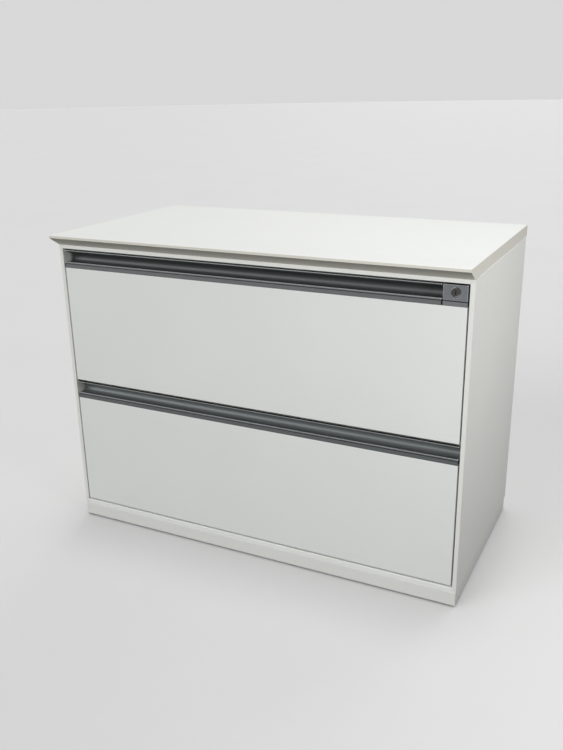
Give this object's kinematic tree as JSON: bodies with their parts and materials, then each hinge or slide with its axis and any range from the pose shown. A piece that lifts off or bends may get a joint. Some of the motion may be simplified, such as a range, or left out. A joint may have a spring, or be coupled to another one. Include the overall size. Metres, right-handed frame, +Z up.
{
  "type": "lateral filing cabinet",
  "caption": "Low, wide office filing cabinet with full-width drawers under a bevel-fronted worktop, channel handles and a lock.",
  "frame": {"origin": "middle of the footprint on the floor", "axes": "+X to the cabinet's right as seen from the front, +Y to the back, +Z up"},
  "size_m": [0.9, 0.48, 0.677],
  "materials": {
    "white_laminate": "satin laminate, white",
    "white_paint": "fine powder coat, white",
    "handle_grey": "satin grey",
    "lock_grey": "satin grey",
    "lock_metal": "bright",
    "lock_dark": "dark",
    "slide_steel": "bright zinc",
    "cage_plastic": "bright steel",
    "ballast": "black",
    "foot_plastic": "black"
  },
  "bodies": {
    "carcass": {"worktop_board": "white_laminate", "left_side_panel": "white_paint", "right_side_panel": "white_paint", "back_panel": "white_paint", "top_panel": "white_paint", "bottom_panel": "white_paint", "base_front_rail": "white_paint", "base_rear_rail": "white_paint", "base_left_rail": "white_paint", "base_right_rail": "white_paint", "left_slide_carrier": "slide_steel", "right_slide_carrier": "slide_steel", "counterweight": "ballast", "lock_bar_guides": "slide_steel", "foot_plates": "white_paint", "lower_left_slide_outer": "slide_steel", "lower_right_slide_outer": "slide_steel", "upper_left_slide_outer": "slide_steel", "upper_right_slide_outer": "slide_steel"},
    "lower_drawer": {"lower_drawer_front": "white_paint", "lower_inner_front": "white_paint", "lower_handle": "handle_grey", "lower_tub_left_side": "white_paint", "lower_tub_right_side": "white_paint", "lower_tub_floor": "white_paint", "lower_tub_back": "white_paint", "lower_hanging_rails": "slide_steel", "lower_left_slide_inner": "slide_steel", "lower_right_slide_inner": "slide_steel"},
    "lower_left_slide_outer_cage": {"lower_left_slide_outer_cage": "cage_plastic"},
    "lower_left_slide_middle": {"lower_left_slide_middle": "slide_steel"},
    "lower_left_slide_inner_cage": {"lower_left_slide_inner_cage": "cage_plastic"},
    "lower_right_slide_outer_cage": {"lower_right_slide_outer_cage": "cage_plastic"},
    "lower_right_slide_middle": {"lower_right_slide_middle": "slide_steel"},
    "lower_right_slide_inner_cage": {"lower_right_slide_inner_cage": "cage_plastic"},
    "upper_drawer": {"upper_drawer_front": "white_paint", "upper_inner_front": "white_paint", "upper_handle": "handle_grey", "upper_tub_left_side": "white_paint", "upper_tub_right_side": "white_paint", "upper_tub_floor": "white_paint", "upper_tub_back": "white_paint", "upper_hanging_rails": "slide_steel", "upper_left_slide_inner": "slide_steel", "upper_right_slide_inner": "slide_steel", "lock_housing": "lock_grey", "lock_cylinder": "lock_metal"},
    "upper_left_slide_outer_cage": {"upper_left_slide_outer_cage": "cage_plastic"},
    "upper_left_slide_middle": {"upper_left_slide_middle": "slide_steel"},
    "upper_left_slide_inner_cage": {"upper_left_slide_inner_cage": "cage_plastic"},
    "upper_right_slide_outer_cage": {"upper_right_slide_outer_cage": "cage_plastic"},
    "upper_right_slide_middle": {"upper_right_slide_middle": "slide_steel"},
    "upper_right_slide_inner_cage": {"upper_right_slide_inner_cage": "cage_plastic"},
    "lock_plug": {"lock_plug": "lock_dark", "lock_cam": "slide_steel"},
    "gang_lock_bar": {"gang_lock_bar": "slide_steel"},
    "left_front_foot": {"left_front_foot": "foot_plastic"},
    "left_back_foot": {"left_back_foot": "foot_plastic"},
    "right_front_foot": {"right_front_foot": "foot_plastic"},
    "right_back_foot": {"right_back_foot": "foot_plastic"}
  },
  "joints": [
    {"name": "lower_drawer_travel", "type": "slide", "parent": "carcass", "child": "lower_drawer", "axis": [0, -1, 0], "range_m": [0, 0.38]},
    {"name": "lower_left_slide_outer_cage_travel", "type": "slide", "parent": "carcass", "child": "lower_left_slide_outer_cage", "axis": [0, -1, 0], "range_m": [0, 0.095]},
    {"name": "lower_left_slide_middle_travel", "type": "slide", "parent": "carcass", "child": "lower_left_slide_middle", "axis": [0, -1, 0], "range_m": [0, 0.19]},
    {"name": "lower_left_slide_inner_cage_travel", "type": "slide", "parent": "carcass", "child": "lower_left_slide_inner_cage", "axis": [0, -1, 0], "range_m": [0, 0.285]},
    {"name": "lower_right_slide_outer_cage_travel", "type": "slide", "parent": "carcass", "child": "lower_right_slide_outer_cage", "axis": [0, -1, 0], "range_m": [0, 0.095]},
    {"name": "lower_right_slide_middle_travel", "type": "slide", "parent": "carcass", "child": "lower_right_slide_middle", "axis": [0, -1, 0], "range_m": [0, 0.19]},
    {"name": "lower_right_slide_inner_cage_travel", "type": "slide", "parent": "carcass", "child": "lower_right_slide_inner_cage", "axis": [0, -1, 0], "range_m": [0, 0.285]},
    {"name": "upper_drawer_travel", "type": "slide", "parent": "carcass", "child": "upper_drawer", "axis": [0, -1, 0], "range_m": [0, 0.38]},
    {"name": "upper_left_slide_outer_cage_travel", "type": "slide", "parent": "carcass", "child": "upper_left_slide_outer_cage", "axis": [0, -1, 0], "range_m": [0, 0.095]},
    {"name": "upper_left_slide_middle_travel", "type": "slide", "parent": "carcass", "child": "upper_left_slide_middle", "axis": [0, -1, 0], "range_m": [0, 0.19]},
    {"name": "upper_left_slide_inner_cage_travel", "type": "slide", "parent": "carcass", "child": "upper_left_slide_inner_cage", "axis": [0, -1, 0], "range_m": [0, 0.285]},
    {"name": "upper_right_slide_outer_cage_travel", "type": "slide", "parent": "carcass", "child": "upper_right_slide_outer_cage", "axis": [0, -1, 0], "range_m": [0, 0.095]},
    {"name": "upper_right_slide_middle_travel", "type": "slide", "parent": "carcass", "child": "upper_right_slide_middle", "axis": [0, -1, 0], "range_m": [0, 0.19]},
    {"name": "upper_right_slide_inner_cage_travel", "type": "slide", "parent": "carcass", "child": "upper_right_slide_inner_cage", "axis": [0, -1, 0], "range_m": [0, 0.285]},
    {"name": "lock_bar_lift", "type": "slide", "parent": "carcass", "child": "gang_lock_bar", "axis": [0, 0, 1], "range_m": [0, 0.01131]},
    {"name": "key_turn", "type": "hinge", "parent": "upper_drawer", "child": "lock_plug", "pos_m": [0.4167, -0.18, 0.6285], "axis": [0, 1, 0], "range_deg": [0, 90]},
    {"name": "left_front_foot_screw", "type": "slide", "parent": "carcass", "child": "left_front_foot", "axis": [0, 0, 1], "range_m": [-0.012, 0]},
    {"name": "left_back_foot_screw", "type": "slide", "parent": "carcass", "child": "left_back_foot", "axis": [0, 0, 1], "range_m": [-0.012, 0]},
    {"name": "right_front_foot_screw", "type": "slide", "parent": "carcass", "child": "right_front_foot", "axis": [0, 0, 1], "range_m": [-0.012, 0]},
    {"name": "right_back_foot_screw", "type": "slide", "parent": "carcass", "child": "right_back_foot", "axis": [0, 0, 1], "range_m": [-0.012, 0]}
  ],
  "couplings": [
    {"joint": "lower_left_slide_outer_cage_travel", "follows": "lower_drawer_travel", "ratio": 0.25},
    {"joint": "lower_left_slide_middle_travel", "follows": "lower_drawer_travel", "ratio": 0.5},
    {"joint": "lower_left_slide_inner_cage_travel", "follows": "lower_drawer_travel", "ratio": 0.75},
    {"joint": "lower_right_slide_outer_cage_travel", "follows": "lower_drawer_travel", "ratio": 0.25},
    {"joint": "lower_right_slide_middle_travel", "follows": "lower_drawer_travel", "ratio": 0.5},
    {"joint": "lower_right_slide_inner_cage_travel", "follows": "lower_drawer_travel", "ratio": 0.75},
    {"joint": "upper_left_slide_outer_cage_travel", "follows": "upper_drawer_travel", "ratio": 0.25},
    {"joint": "upper_left_slide_middle_travel", "follows": "upper_drawer_travel", "ratio": 0.5},
    {"joint": "upper_left_slide_inner_cage_travel", "follows": "upper_drawer_travel", "ratio": 0.75},
    {"joint": "upper_right_slide_outer_cage_travel", "follows": "upper_drawer_travel", "ratio": 0.25},
    {"joint": "upper_right_slide_middle_travel", "follows": "upper_drawer_travel", "ratio": 0.5},
    {"joint": "upper_right_slide_inner_cage_travel", "follows": "upper_drawer_travel", "ratio": 0.75},
    {"joint": "key_turn", "follows": "lock_bar_lift", "rad_per_m": 138.84}
  ]
}
